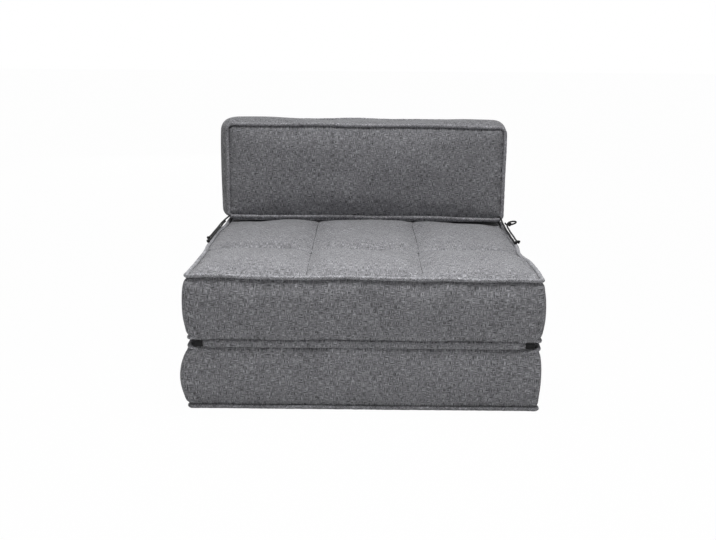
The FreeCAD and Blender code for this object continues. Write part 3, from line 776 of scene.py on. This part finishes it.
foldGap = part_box("seat_bottom_panel")[0].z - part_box("base_top_panel")[1].z
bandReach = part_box("hinge_tab_right")[1].x
bandSeam = {"base": seamSink - 0.4 * mm, "seat": seamSink + 3.3 * mm, "front": -360 * mm, "before": 4 * mm,
            "after": 8 * mm}


def bandPart(seam):
    ends = (bandReach - bandSeam["before"], bandReach + bandSeam["after"])
    return (seam[:, 1] < bandSeam["front"]) * (1 - smoothStep(np.abs(seam[:, 0]), *ends))


# Crowns of the faces: half spans, height and how flat the middle is
crowns = {
    "base": {"spanX": 390 * mm, "spanY": 390 * mm, "height": foldGap / 2 - 0.6 * mm, "flat": 5},
    "backFront": {"spanX": 370 * mm, "spanY": 120 * mm, "height": 13 * mm, "flat": 2.2},
    "backRear": {"spanX": 370 * mm, "spanY": 85 * mm, "height": 7 * mm, "flat": 2.4},
}
backRearMiddle, backRearFoot = -30 * mm, 55 * mm


def baseTop(x, y, fromEdge):
    return crownOf(x, y, crowns["base"])


def flatBottom(x, y, fromEdge):
    return np.zeros(len(x))


backZipDown = back["stand"][1] - (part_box("back_zip_chain")[0].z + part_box("back_zip_chain")[1].z) / 2


def backFront(x, y, fromEdge):
    return crownOf(x, y, crowns["backFront"])


def backRear(x, y, fromEdge):
    return crownOf(x, y - backRearMiddle, crowns["backRear"]) * (y < backRearFoot)


coverPlans = {
    "base": {"top": baseTop, "bottom": flatBottom, "open": {"high": bandSeam["base"]},
             "stopsX": (-zipReach, zipReach), "stopsY": (),
             "names": ("base_top_panel", "base_bottom_panel")},
    "seat": {"top": quiltHeight, "bottom": baseTop, "open": {"low": -bandSeam["seat"]},
             "stopsX": (-zipReach, *besideSeams(-quilt["columnSeam"], quilt["columnSeam"]), zipReach),
             "stopsY": (*besideSeams(quilt["rowSeam"]), quilt["rearEnd"]),
             "names": ("seat_quilted_top", "seat_bottom_panel")},
    "back": {"top": backRear, "bottom": backFront, "open": {}, "stopsX": (-zipReach, zipReach),
             "stopsY": (backZipDown - zipHalf, backZipDown + zipHalf),
             "names": ("back_rear_panel", "back_front_panel")},
}
bodyOf = {"base": "base", "seat": "seat", "back": "backrest"}


# Foam and fleece under a cover are the cover's own shape drawn in a little
filling = {"fleece_wrap": 5 * mm, "foam_core": 14 * mm, "wadding": (1.8 * mm, 4 * mm), "every": 3}


def drawnIn(form, points, depth):
    low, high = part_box(form["name"] + "_fleece_wrap")
    middle, half = np.array((low + high) / 2), np.array((high - low) / 2)
    return middle + (points - middle) * (1 - depth / half)


def everyFew(line, stops=()):
    chosen = list(range(0, len(line), filling["every"])) + [len(line) - 1]
    chosen += [int(np.argmin(np.abs(line - stop))) for stop in stops]
    return np.unique(chosen)


def buildFilling(name, form, points, count):
    plan = coverPlans[name]
    columns = everyFew(form["gx"], plan["stopsX"])
    rows = everyFew(form["gy"], plan["stopsY"])
    downs = everyFew(form["downs"])
    rimRow, rimColumn = np.divmod(form["rim"], len(form["gx"]))
    kept = np.isin(rimRow, rows) & np.isin(rimColumn, columns)
    inner = points[2 * count:].reshape(-1, len(form["rim"]), 3)[downs[1:-1] - 1][:, kept]
    panels = [points[start:start + count].reshape(len(form["gy"]), -1, 3)[rows][:, columns] for start in (0, count)]
    thin = {"gx": columns, "gy": rows, "downs": downs, "rim": rimOf(len(columns), len(rows))}
    top, bottom, side = coverFaces(thin, len(columns) * len(rows))
    faces = np.concatenate([top, bottom, side.reshape(-1, 4)])
    coarse = np.concatenate([a.reshape(-1, 3) for a in (*panels, inner)])
    for node, finish in (("_fleece_wrap", "fleece"), ("_foam_core", "foam")):
        inside = drawnIn(form, coarse, filling[node[1:]])
        piece = makePiece(name + node + "_filling", inside, faces, finish, inside[faces.ravel()][:, :2])
        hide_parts(name + node)
        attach(piece, bodyOf[name])
    if name == "seat":
        buildWadding(form, points[:count].reshape(len(form["gy"]), -1, 3))


def buildWadding(form, panel):
    faces = sheetFaces(*panel.shape[:2])
    points = np.concatenate([drawnIn(form, panel.reshape(-1, 3), depth) for depth in filling["wadding"]])
    piece = makePiece("seat_quilt_wadding_sheet", points, faces, "fleece", points[faces.ravel()][:, :2])
    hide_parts("seat_quilt_wadding")
    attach(piece, "seat")


def buildCover(name):
    form, plan = cushions[name], coverPlans[name]
    top, bottom, boxing = makeCover(form, plan)
    count = len(top)
    points = np.concatenate([top, bottom, boxing.reshape(-1, 3)])
    panelTop, panelBottom, side = coverFaces(form, count)
    points = settle(form, points)
    sewn = np.zeros(len(points))
    sewn[form["rim"]] = sewn[count + form["rim"]] = 1
    x, y = top[:, 0], top[:, 1]
    if name == "seat":
        line = (np.abs(np.abs(x) - quilt["columnSeam"]) < 1 * mm) | (np.abs(y - quilt["rowSeam"]) < 1 * mm)
        sewn[:count][line & (y < quilt["looseFrom"])] = 1
        sewn[:count][y > quilt["looseFrom"]] = quilt["looseHold"]
    if name == "base":
        sewn[count:2 * count] = 1
    sewn = np.maximum(sewn, 1 - nearZip(form, points))
    faces = np.concatenate([panelTop, panelBottom, side.reshape(-1, 4)])
    points = points + simulateCover(name, points, faces, np.round(sewn, 1), clothSim[name])
    buildFilling(name, form, points, count)
    if name == "seat":
        buildStitching(form, points[:count].reshape(len(form["gy"]), -1, 3))
    pieces = []
    flat = np.concatenate([top, bottom])[:, :2]
    for label, faces in zip(plan["names"], (panelTop, panelBottom)):
        if label == "back_rear_panel":
            middle = flat[faces].mean(1)
            slot = (np.abs(middle[:, 0]) < zipReach) & (np.abs(middle[:, 1] - backZipDown) < zipHalf)
            faces = faces[~slot]
        used, local = partOf(points, faces)
        finish = "underside" if label == "base_bottom_panel" else "cover"
        piece = makePiece(label + "_cloth", points[used], local, finish, flat[used][local.ravel()])
        refined(piece)
        place = weaveOf(piece)
        edges = [(form["halfX"] - seamInset - np.abs(place[:, 0]),
                  place[:, 1] + pucker["otherSide"] * np.sign(place[:, 0])),
                 (form["halfY"] - seamInset - np.abs(place[:, 1]),
                  place[:, 0] + pucker["otherEnd"] * np.sign(place[:, 1]))]
        puckerPiece(piece, edges, form["seed"] + 1)
        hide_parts(label)
        pieces.append(piece)
    pieces += buildBoxing(name, form, points, side)
    for piece in pieces:
        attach(piece, bodyOf[name])


def buildBoxing(name, form, points, side):
    lengths = lengthsAlong(form["ring"], closed=True)
    ringY = form["ring"][:, 1]
    middle = (ringY + np.roll(ringY, -1)) / 2
    rear = middle > form["zipSeam"]
    rows, around = side.shape[:2]
    u = np.stack([lengths[:-1], lengths[1:], lengths[1:], lengths[:-1]], 1)
    slotted = np.zeros((rows, around), bool)
    if name != "back":
        middleX = (form["ring"][:, 0] + np.roll(form["ring"][:, 0], -1)) / 2
        middleDown = (form["downs"][:-1] + form["downs"][1:]) / 2
        level = np.abs(middleDown - form["downs"][-1] / 2) < zipHalf
        slotted = level[:, None] & ((np.abs(middleX) < zipReach) & rear)[None]
    pieces = []
    for label, chosen in (("_side_boxing", ~rear), ("_zip_boxing", rear)):
        whole = ~slotted[:, chosen].ravel()
        faces = side[:, chosen].reshape(-1, 4)[whole]
        v = np.stack([form["downs"][:-1]] * 2 + [form["downs"][1:]] * 2, 1)
        uv = np.empty((rows, around, 4, 2))
        uv[..., 0] = u[None]
        uv[..., 1] = v[:, None]
        used, local = partOf(points, faces)
        weave = uv[:, chosen].reshape(-1, 4, 2)[whole]
        piece = makePiece(name + label + "_cloth", points[used], local, "cover", weave)
        refined(piece)
        place = weaveOf(piece)
        reach = form["downs"][-1]
        calm = nearZip(form, pointsOf(piece))
        edges = [(place[:, 1] + (1 - calm), place[:, 0]),
                 (reach - place[:, 1] + (1 - calm), place[:, 0] + pucker["otherEdge"])]
        puckerPiece(piece, edges, form["seed"] + 2)
        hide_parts(name + label)
        pieces.append(piece)
    return pieces


# Piping: cloth sewn round a filler cord, slightly uneven along its length
def planLoop(form, inset, spacing=6 * mm):
    halfX, halfY = form["halfX"] - inset, form["halfY"] - inset
    front, rear = (max(r - inset, 1 * mm) for r in form["corner"])
    path = []
    for cx, cy, radius, start in ((1, -1, front, -90), (1, 1, rear, 0), (-1, 1, rear, 90), (-1, -1, front, 180)):
        middle = (cx * (halfX - radius), cy * (halfY - radius))
        steps = max(4, round(radius * math.pi / 2 / (spacing * 0.6)))
        for i in range(steps + 1):
            angle = math.radians(start + 90 * i / steps)
            path.append((middle[0] + radius * math.cos(angle), middle[1] + radius * math.sin(angle)))
    path = np.array(path)
    dense = [path[0]]
    for a, b in zip(path, np.roll(path, -1, 0)):
        long = np.linalg.norm(b - a)
        count = max(1, round(long / spacing))
        dense.extend(a + (b - a) * i / count for i in range(1, count + 1))
    return np.array(dense[:-1])


def tubeAlong(path, radii, sides, closed):
    if closed:
        ahead = np.roll(path, -1, 0) - np.roll(path, 1, 0)
    else:
        ahead = np.gradient(path, axis=0)
    ahead /= np.linalg.norm(ahead, axis=1)[:, None]
    up = np.tile([0.0, 0.0, 1.0], (len(path), 1))
    up[np.abs(ahead[:, 2]) > 0.9] = [0.0, 1.0, 0.0]
    side = np.cross(ahead, up)
    side /= np.linalg.norm(side, axis=1)[:, None]
    up = np.cross(side, ahead)
    turn = (np.arange(sides) * 2 * math.pi / sides)[None]
    ring = side[:, None] * np.cos(turn)[..., None] + up[:, None] * np.sin(turn)[..., None]
    return (path[:, None] + ring * np.asarray(radii)[:, None, None]).reshape(-1, 3)


def tubeWeave(lengths, sides, radius):
    place = np.empty((len(lengths) - 1, sides, 4, 2))
    place[..., 0] = np.stack([lengths[:-1], lengths[:-1], lengths[1:], lengths[1:]], 1)[:, None]
    around = np.arange(sides) * 2 * math.pi * radius / sides
    step = 2 * math.pi * radius / sides
    place[..., 1] = np.stack([around, around + step, around + step, around], 1)[None]
    return place.reshape(-1, 2)


def makeTube(name, path, radii, sides, closed, finish, radius):
    points = tubeAlong(path, radii, sides, closed)
    faces = gridFaces(len(path) + closed, sides, closed=True) % (len(path) * sides)
    weave = tubeWeave(lengthsAlong(path, closed), sides, radius)
    faces, weave = faces.tolist(), weave.tolist()
    if not closed:
        for ring, flip in ((0, False), (len(path) - 1, True)):
            cap = [ring * sides + i for i in range(sides)]
            faces.append(cap if flip else cap[::-1])
            weave.extend([[0.0, 0.0]] * sides)
    return makePiece(name, points, faces, finish, weave)


# Quilting stitches: one thread sunk in each groove; the stitches are real, their near-black colour is painted shade
# of the groove
stitching = {"long": 5 * mm, "thick": 1.1 * mm, "above": 1.1 * mm, "step": 1.25 * mm}


def buildStitching(form, panel):
    stitched = form["gy"] < quilt["rearEnd"]
    lines = [panel[stitched, np.argmin(np.abs(form["gx"] - seam))]
             for seam in (-quilt["columnSeam"], quilt["columnSeam"])]
    lines.append(panel[np.argmin(np.abs(form["gy"] - quilt["rowSeam"]))])
    for label, line in zip(("left", "right", "cross"), lines):
        lengths = lengthsAlong(line)
        at = np.arange(4 * mm, lengths[-1] - 4 * mm, stitching["step"])
        path = np.stack([np.interp(at, lengths, line[:, i]) for i in range(3)], 1)
        path[:, 2] += stitching["above"]
        radii = stitching["thick"] * (0.45 + 0.55 * np.abs(np.sin(math.pi * at / stitching["long"])))
        # The thread's near-black finish is painted groove shade
        shadeThread = makeTube("seat_" + label + "_stitching", path, radii, 6, False, "shadeThread", stitching["thick"])
        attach(shadeThread, "seat")


for name in cushions:
    buildCover(name)
    print(name, "cover made")


# Beside the tabs the piping's ends curl over the blocks' faces and run out
pipingEnd = {"curl": 44 * mm, "climb": 5.5 * mm, "within": 20 * mm, "tuck": 4 * mm, "tip": 0.4}
pipingUneven = {"share": 0.05, "shortest": 9 * mm, "longest": 60 * mm}
pipingSides = 12


def buildPiping(name, label, height, opening=False):
    form = cushions[name]
    loop = planLoop(form, pipingInset)
    if opening:
        start = np.argmin(np.hypot(loop[:, 0], loop[:, 1] - loop[:, 1].min()))
        loop = np.roll(loop, -start, 0)
        gap = (loop[:, 1] < loop[:, 1].min() + 1 * mm) & (np.abs(loop[:, 0]) < bandReach - pipingEnd["curl"])
        loop = loop[~gap]
    path = settle(form, np.column_stack([loop, np.full(len(loop), height)]))
    lengths = lengthsAlong(path)
    uneven = waveLine(form["seed"] + len(label), pipingUneven["shortest"], pipingUneven["longest"])
    radii = pipingRadius * (1 + pipingUneven["share"] * uneven(lengths))
    if opening:
        away = 1 if name == "seat" else -1
        for end in (lengths, lengths[-1] - lengths):
            radii = radii * (pipingEnd["tip"] + (1 - pipingEnd["tip"]) * smoothStep(end, 0, pipingEnd["curl"]))
            climb = 1 - smoothStep(end, pipingEnd["curl"] - pipingEnd["within"], pipingEnd["curl"] + 4 * mm)
            path[:, 2] += away * pipingEnd["climb"] * climb
            path[:, 1] += pipingEnd["tuck"] * smoothStep(-end, -14 * mm, 0)
    piece = makeTube(name + label, path, radii, pipingSides, not opening, "piping", pipingRadius)
    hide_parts(name + label.replace("_cord", ""))
    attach(piece, bodyOf[name])


buildPiping("base", "_bottom_piping_cord", pipingSink)
buildPiping("base", "_top_piping_cord", base["tall"] - pipingSink, opening=True)
buildPiping("seat", "_bottom_piping_cord", pipingSink, opening=True)
buildPiping("seat", "_top_piping_cord", seat["tall"] - pipingSink)
buildPiping("back", "_front_piping_cord", pipingSink)
buildPiping("back", "_rear_piping_cord", back["tall"] - pipingSink)
print("piping made")


# Cloth strips: the front hinge, the flap behind and the band under the back
stripStep = 6 * mm
stripWave = {"shortest": 11 * mm, "longest": 70 * mm}


def doubleSheet(name, front, place, thick, finish):
    faces = sheetFaces(*front.shape[:2])
    points = np.concatenate([front.reshape(-1, 3), front.reshape(-1, 3) + [0, thick, 0]])
    weave = np.concatenate([place.reshape(-1, 2), place.reshape(-1, 2) + [0, thick]])
    return makePiece(name, points, faces, finish, weave[faces.ravel()])


def makeStrip(name, node, spec):
    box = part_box(node)
    columns = max(12, round((box[1].x - box[0].x) / stripStep))
    xs = np.linspace(box[0].x, box[1].x, columns)
    zs = np.linspace(box[0].z, box[1].z + spec["above"], spec["rows"])
    line = waveLine(spec["seed"], stripWave["shortest"], stripWave["longest"])
    middle = np.sin(np.linspace(0, math.pi, spec["rows"]))
    front = np.empty((spec["rows"], columns, 3))
    front[..., 0] = xs[None]
    front[..., 1] = box[0].y + spec["behind"] - (spec["wrinkle"] * line(xs))[None] * middle[:, None]
    front[..., 2] = zs[:, None]
    up = np.concatenate([[0], np.cumsum(np.diff(zs))])
    piece = doubleSheet(name, front, np.stack(np.meshgrid(xs, up), -1), spec["thick"], "cover")
    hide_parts(node)
    return piece


hingeLow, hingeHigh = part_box("base_top_panel")[1].z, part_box("seat_bottom_panel")[0].z
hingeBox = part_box("fold_hinge_strip")
stripFace = hingeBox[0].y
hingeBand = {"depth": 5 * mm, "belly": 6.4 * mm, "rows": 13, "thick": 1.2 * mm, "under": 2 * mm,
             "wrinkle": 0.35 * mm}
bandWave = {"seed": 5, "shortest": 14 * mm, "longest": 90 * mm}
bandShort = 3.7 * mm  # the band ends this far below the upper block


def bandLow(x):
    return hingeLow + pressed(x, stripFace)


def bandHigh(x):
    return hingeHigh - bandShort - pressed(x, stripFace)


def makeBand(name, node, lowX, highX, step, spec, finish, ribs=0.0):
    columns = max(9, round((highX - lowX) / step))
    xs = np.linspace(lowX, highX, columns)
    t = np.linspace(0, 1, spec["rows"])
    low, high = bandLow(xs) - spec["under"], bandHigh(xs) + spec["under"]
    line = waveLine(bandWave["seed"], bandWave["shortest"], bandWave["longest"])
    wave = line(xs) * spec["wrinkle"] + ribs * np.cos(np.arange(columns) * math.pi)
    out = spec["belly"] * np.sin(math.pi * t) ** 0.5
    front = np.empty((spec["rows"], columns, 3))
    front[..., 0] = xs[None]
    front[..., 1] = stripFace + spec["depth"] - out[:, None] - wave[None] * np.sin(math.pi * t)[:, None]
    front[..., 2] = low[None] + (high - low)[None] * t[:, None]
    place = np.stack(np.meshgrid(xs, t * (hingeHigh - hingeLow)), -1)
    piece = doubleSheet(name, front, place, spec["thick"], finish)
    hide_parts(node)
    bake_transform(piece)
    return piece


hingeStrip = makeBand("fold_hinge_strip_cloth", "fold_hinge_strip", hingeBox[0].x, hingeBox[1].x, stripStep,
                      hingeBand, "cover")

webTab = {"depth": 2.2 * mm, "belly": 4.2 * mm, "rows": 11, "thick": 1.6 * mm, "under": 1.5 * mm, "wrinkle": 0.0,
          "rib": 0.45 * mm}
for node in ("hinge_tab_left", "hinge_tab_right"):
    low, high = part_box(node)
    tab = makeBand(node + "_webbing", node, low.x, high.x, (high.x - low.x) / 13, webTab, "webbing", webTab["rib"])

flapSpec = {"rows": 9, "seed": 9, "thick": 1.3 * mm, "wrinkle": 0.3 * mm, "sewn": 8 * mm, "behind": 0.2 * mm,
            "above": 0}
flap = makeStrip("back_hinge_flap_cloth", "back_hinge_flap", flapSpec)
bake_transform(flap)

footSpec = {"rows": 7, "seed": 13, "thick": 1.4 * mm, "wrinkle": 0.4 * mm, "behind": 5 * mm, "above": 3 * mm}
footBand = makeStrip("back_foot_band_cloth", "back_foot_band", footSpec)
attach(footBand, "backrest")

print("strips and tabs made")


# Tie cords: routes in metres, as their solids have them
tieCord = {"diameter": 4.5 * mm, "sides": 12, "curveOrder": 3, "curveSteps": 10}
tieKnot = {"off": 2 * mm, "size": 0.72, "thick": 0.42}
routes = {
    "back_tie_left": [
        (-0.3744, 0.2624, 0.3224), (-0.3815, 0.258, 0.317), (-0.3895, 0.245, 0.3115), (-0.3935, 0.222, 0.3094),
        (-0.3955, 0.184, 0.3092), (-0.396, 0.138, 0.3096), (-0.3985, 0.092, 0.3094), (-0.3995, 0.046, 0.3094),
        (-0.403, 0.006, 0.3092),
    ],
    "seat_tie_left": [
        (-0.3866, 0.232, 0.3097), (-0.3875, 0.219, 0.3095), (-0.3892, 0.2, 0.3096), (-0.389, 0.17, 0.3096),
        (-0.3915, 0.128, 0.3098), (-0.3925, 0.084, 0.3099), (-0.3945, 0.04, 0.3098), (-0.3955, 0.0, 0.3096),
        (-0.398, -0.034, 0.3092),
    ],
    "back_tie_right": [
        (0.3744, 0.2624, 0.3224), (0.378, 0.256, 0.3155), (0.3795, 0.243, 0.3096), (0.381, 0.22, 0.307),
        (0.3803, 0.184, 0.307), (0.379, 0.14, 0.3078), (0.3802, 0.096, 0.3088), (0.379, 0.052, 0.3092),
        (0.3802, 0.01, 0.3096), (0.3795, -0.026, 0.31),
    ],
    "seat_tie_right": [
        (0.3885, 0.25, 0.3065), (0.388, 0.236, 0.3068), (0.389, 0.222, 0.308), (0.3905, 0.208, 0.3095),
        (0.395, 0.195, 0.313), (0.403, 0.188, 0.317), (0.4105, 0.193, 0.3195), (0.412, 0.205, 0.3205),
        (0.405, 0.214, 0.3195), (0.395, 0.213, 0.3175), (0.3885, 0.204, 0.3145), (0.386, 0.19, 0.3105),
        (0.387, 0.172, 0.3078), (0.3868, 0.145, 0.308), (0.3862, 0.106, 0.3088), (0.3875, 0.064, 0.309),
        (0.3868, 0.022, 0.3096), (0.388, -0.014, 0.31),
    ],
}


def smoothRoute(name, points):
    curve = bpy.data.curves.new(name + "_route", "CURVE")
    curve.dimensions = "3D"
    spline = curve.splines.new("NURBS")
    spline.points.add(len(points) - 1)
    for point, place in zip(spline.points, points):
        point.co = (*place, 1)
    spline.order_u = tieCord["curveOrder"]
    spline.use_endpoint_u = True
    spline.resolution_u = tieCord["curveSteps"]
    carrier = bpy.data.objects.new(name + "_route", curve)
    bpy.context.scene.collection.objects.link(carrier)
    bpy.context.view_layer.update()
    mesh = bpy.data.meshes.new_from_object(carrier.evaluated_get(bpy.context.evaluated_depsgraph_get()))
    line = np.array([v.co for v in mesh.vertices])
    bpy.data.objects.remove(carrier)
    bpy.data.curves.remove(curve)
    bpy.data.meshes.remove(mesh)
    return line


def makeKnot(node, line, heading):
    low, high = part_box(node)
    centre = np.array((low + high) / 2)
    nearest = line[np.argmin(np.linalg.norm(line - centre, axis=1))]
    centre = nearest + np.clip(centre - nearest, -tieKnot["off"], tieKnot["off"])
    reach = (high.x - low.x) / 2
    t = np.linspace(0, 2 * math.pi, 73)[:-1]
    loop = np.stack([np.sin(t) + 2 * np.sin(2 * t), np.cos(t) - 2 * np.cos(2 * t), -np.sin(3 * t)], 1) / 3
    loop *= [1, 1, 0.8]
    ahead = Vector(heading).normalized()
    turned = np.array(ahead.to_track_quat("Z", "Y").to_matrix())
    path = centre + (loop * (reach * tieKnot["size"])) @ turned.T
    radius = tieCord["diameter"] * tieKnot["thick"]
    piece = makeTube(node + "_twist", path, np.full(len(path), radius), 10, True, "cord", radius)
    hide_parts(node)
    return piece


def makeTie(name, body, knots):
    line = smoothRoute(name, routes[name])
    radius = tieCord["diameter"] / 2
    piece = makeTube(name + "_cord", line, np.full(len(line), radius), tieCord["sides"], False, "cord", radius)
    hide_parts(name)
    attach(piece, body)
    heading = line[-1] - line[-4]
    for knot in knots:
        made = makeKnot(knot, line, heading)
        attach(made, body)


makeTie("back_tie_left", "backrest", ["back_tie_left_knot"])
makeTie("seat_tie_left", "seat", ["seat_tie_left_knot"])
makeTie("back_tie_right", "backrest", ["back_tie_right_knot"])
makeTie("seat_tie_right", "seat", ["seat_tie_right_bow_knot", "seat_tie_right_knot"])
print("tie cords made")


# Zip pieces keep the frame's own shape
carried = {
    "tape": ("base_zip_chain", "seat_zip_chain", "back_zip_chain"),
    "metal": ("base_zip_slider", "seat_zip_slider", "back_zip_slider", "base_zip_pull", "seat_zip_pull",
              "back_zip_pull"),
}
for finish, nodes in carried.items():
    for node in nodes:
        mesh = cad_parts[node].data
        mesh.materials.clear()
        mesh.materials.append(finishes[finish])
print("carried pieces finished")


# Studio: white floor that keeps a soft shadow, white surroundings
studio = {
    "floorHalf": 12.0,
    "floorColour": (0.66, 0.66, 0.66, 1),
    "surround": 0.18,
    "floorSeen": 0.985,
    "overhead": {"size": 1.2, "power": 24.5, "place": (0.1, -0.55, 2.3), "aim": (0, -1.3, 0), "spread": 120},
    "behind": {"size": 2.0, "power": 24.5, "place": (-0.8, 3.6, 1.1), "aim": (0, 0.4, 0.1), "spread": 180},
}


def makeStudio(spec):
    world = bpy.data.worlds.new("surround")
    bpy.context.scene.world = world
    sky = Board(world)
    cameraRay = sky.add("LightPath")
    seen = sky.maths("MAXIMUM", cameraRay, cameraRay.output("Is Glossy Ray"))
    background = sky.tree.nodes["Background"]
    sky.plug(background.inputs["Strength"], seen * (1 - spec["surround"]) + spec["surround"])
    background.inputs["Color"].default_value = (1, 1, 1, 1)
    half = spec["floorHalf"]
    corners = [(-half, -half, 0), (half, -half, 0), (half, half, 0), (-half, half, 0)]
    floorFinish = Finish("studioFloor", Base_Color=spec["floorColour"], Roughness=1.0)
    cameraRay = floorFinish.add("LightPath")
    emission = floorFinish.add("Emission", {}, {"Color": (1, 1, 1, 1), "Strength": 1.0})
    shader = Wire(floorFinish, floorFinish.shader.outputs[0])
    sockets = {0: cameraRay * spec["floorSeen"], 1: shader, 2: emission}
    mixed = floorFinish.add("MixShader", {}, sockets)
    floorFinish.plug(floorFinish.tree.nodes["Material Output"].inputs["Surface"], mixed)
    finishes["floor"] = floorFinish.material
    floor = makePiece("studioFloor", corners, [(0, 1, 2, 3)], "floor")
    for label in ("overhead", "behind"):
        lamp = spec[label]
        data = bpy.data.lights.new(label, "AREA")
        data.size = lamp["size"]
        data.energy = lamp["power"]
        data.spread = math.radians(lamp["spread"])
        light = bpy.data.objects.new(label, data)
        bpy.context.scene.collection.objects.link(light)
        light.location = lamp["place"]
        aim = Vector(lamp["aim"]) - Vector(lamp["place"])
        light.rotation_euler = aim.to_track_quat("-Z", "Y").to_euler()


makeStudio(studio)
bpy.context.scene.view_settings.view_transform = "Standard"
print("studio made")
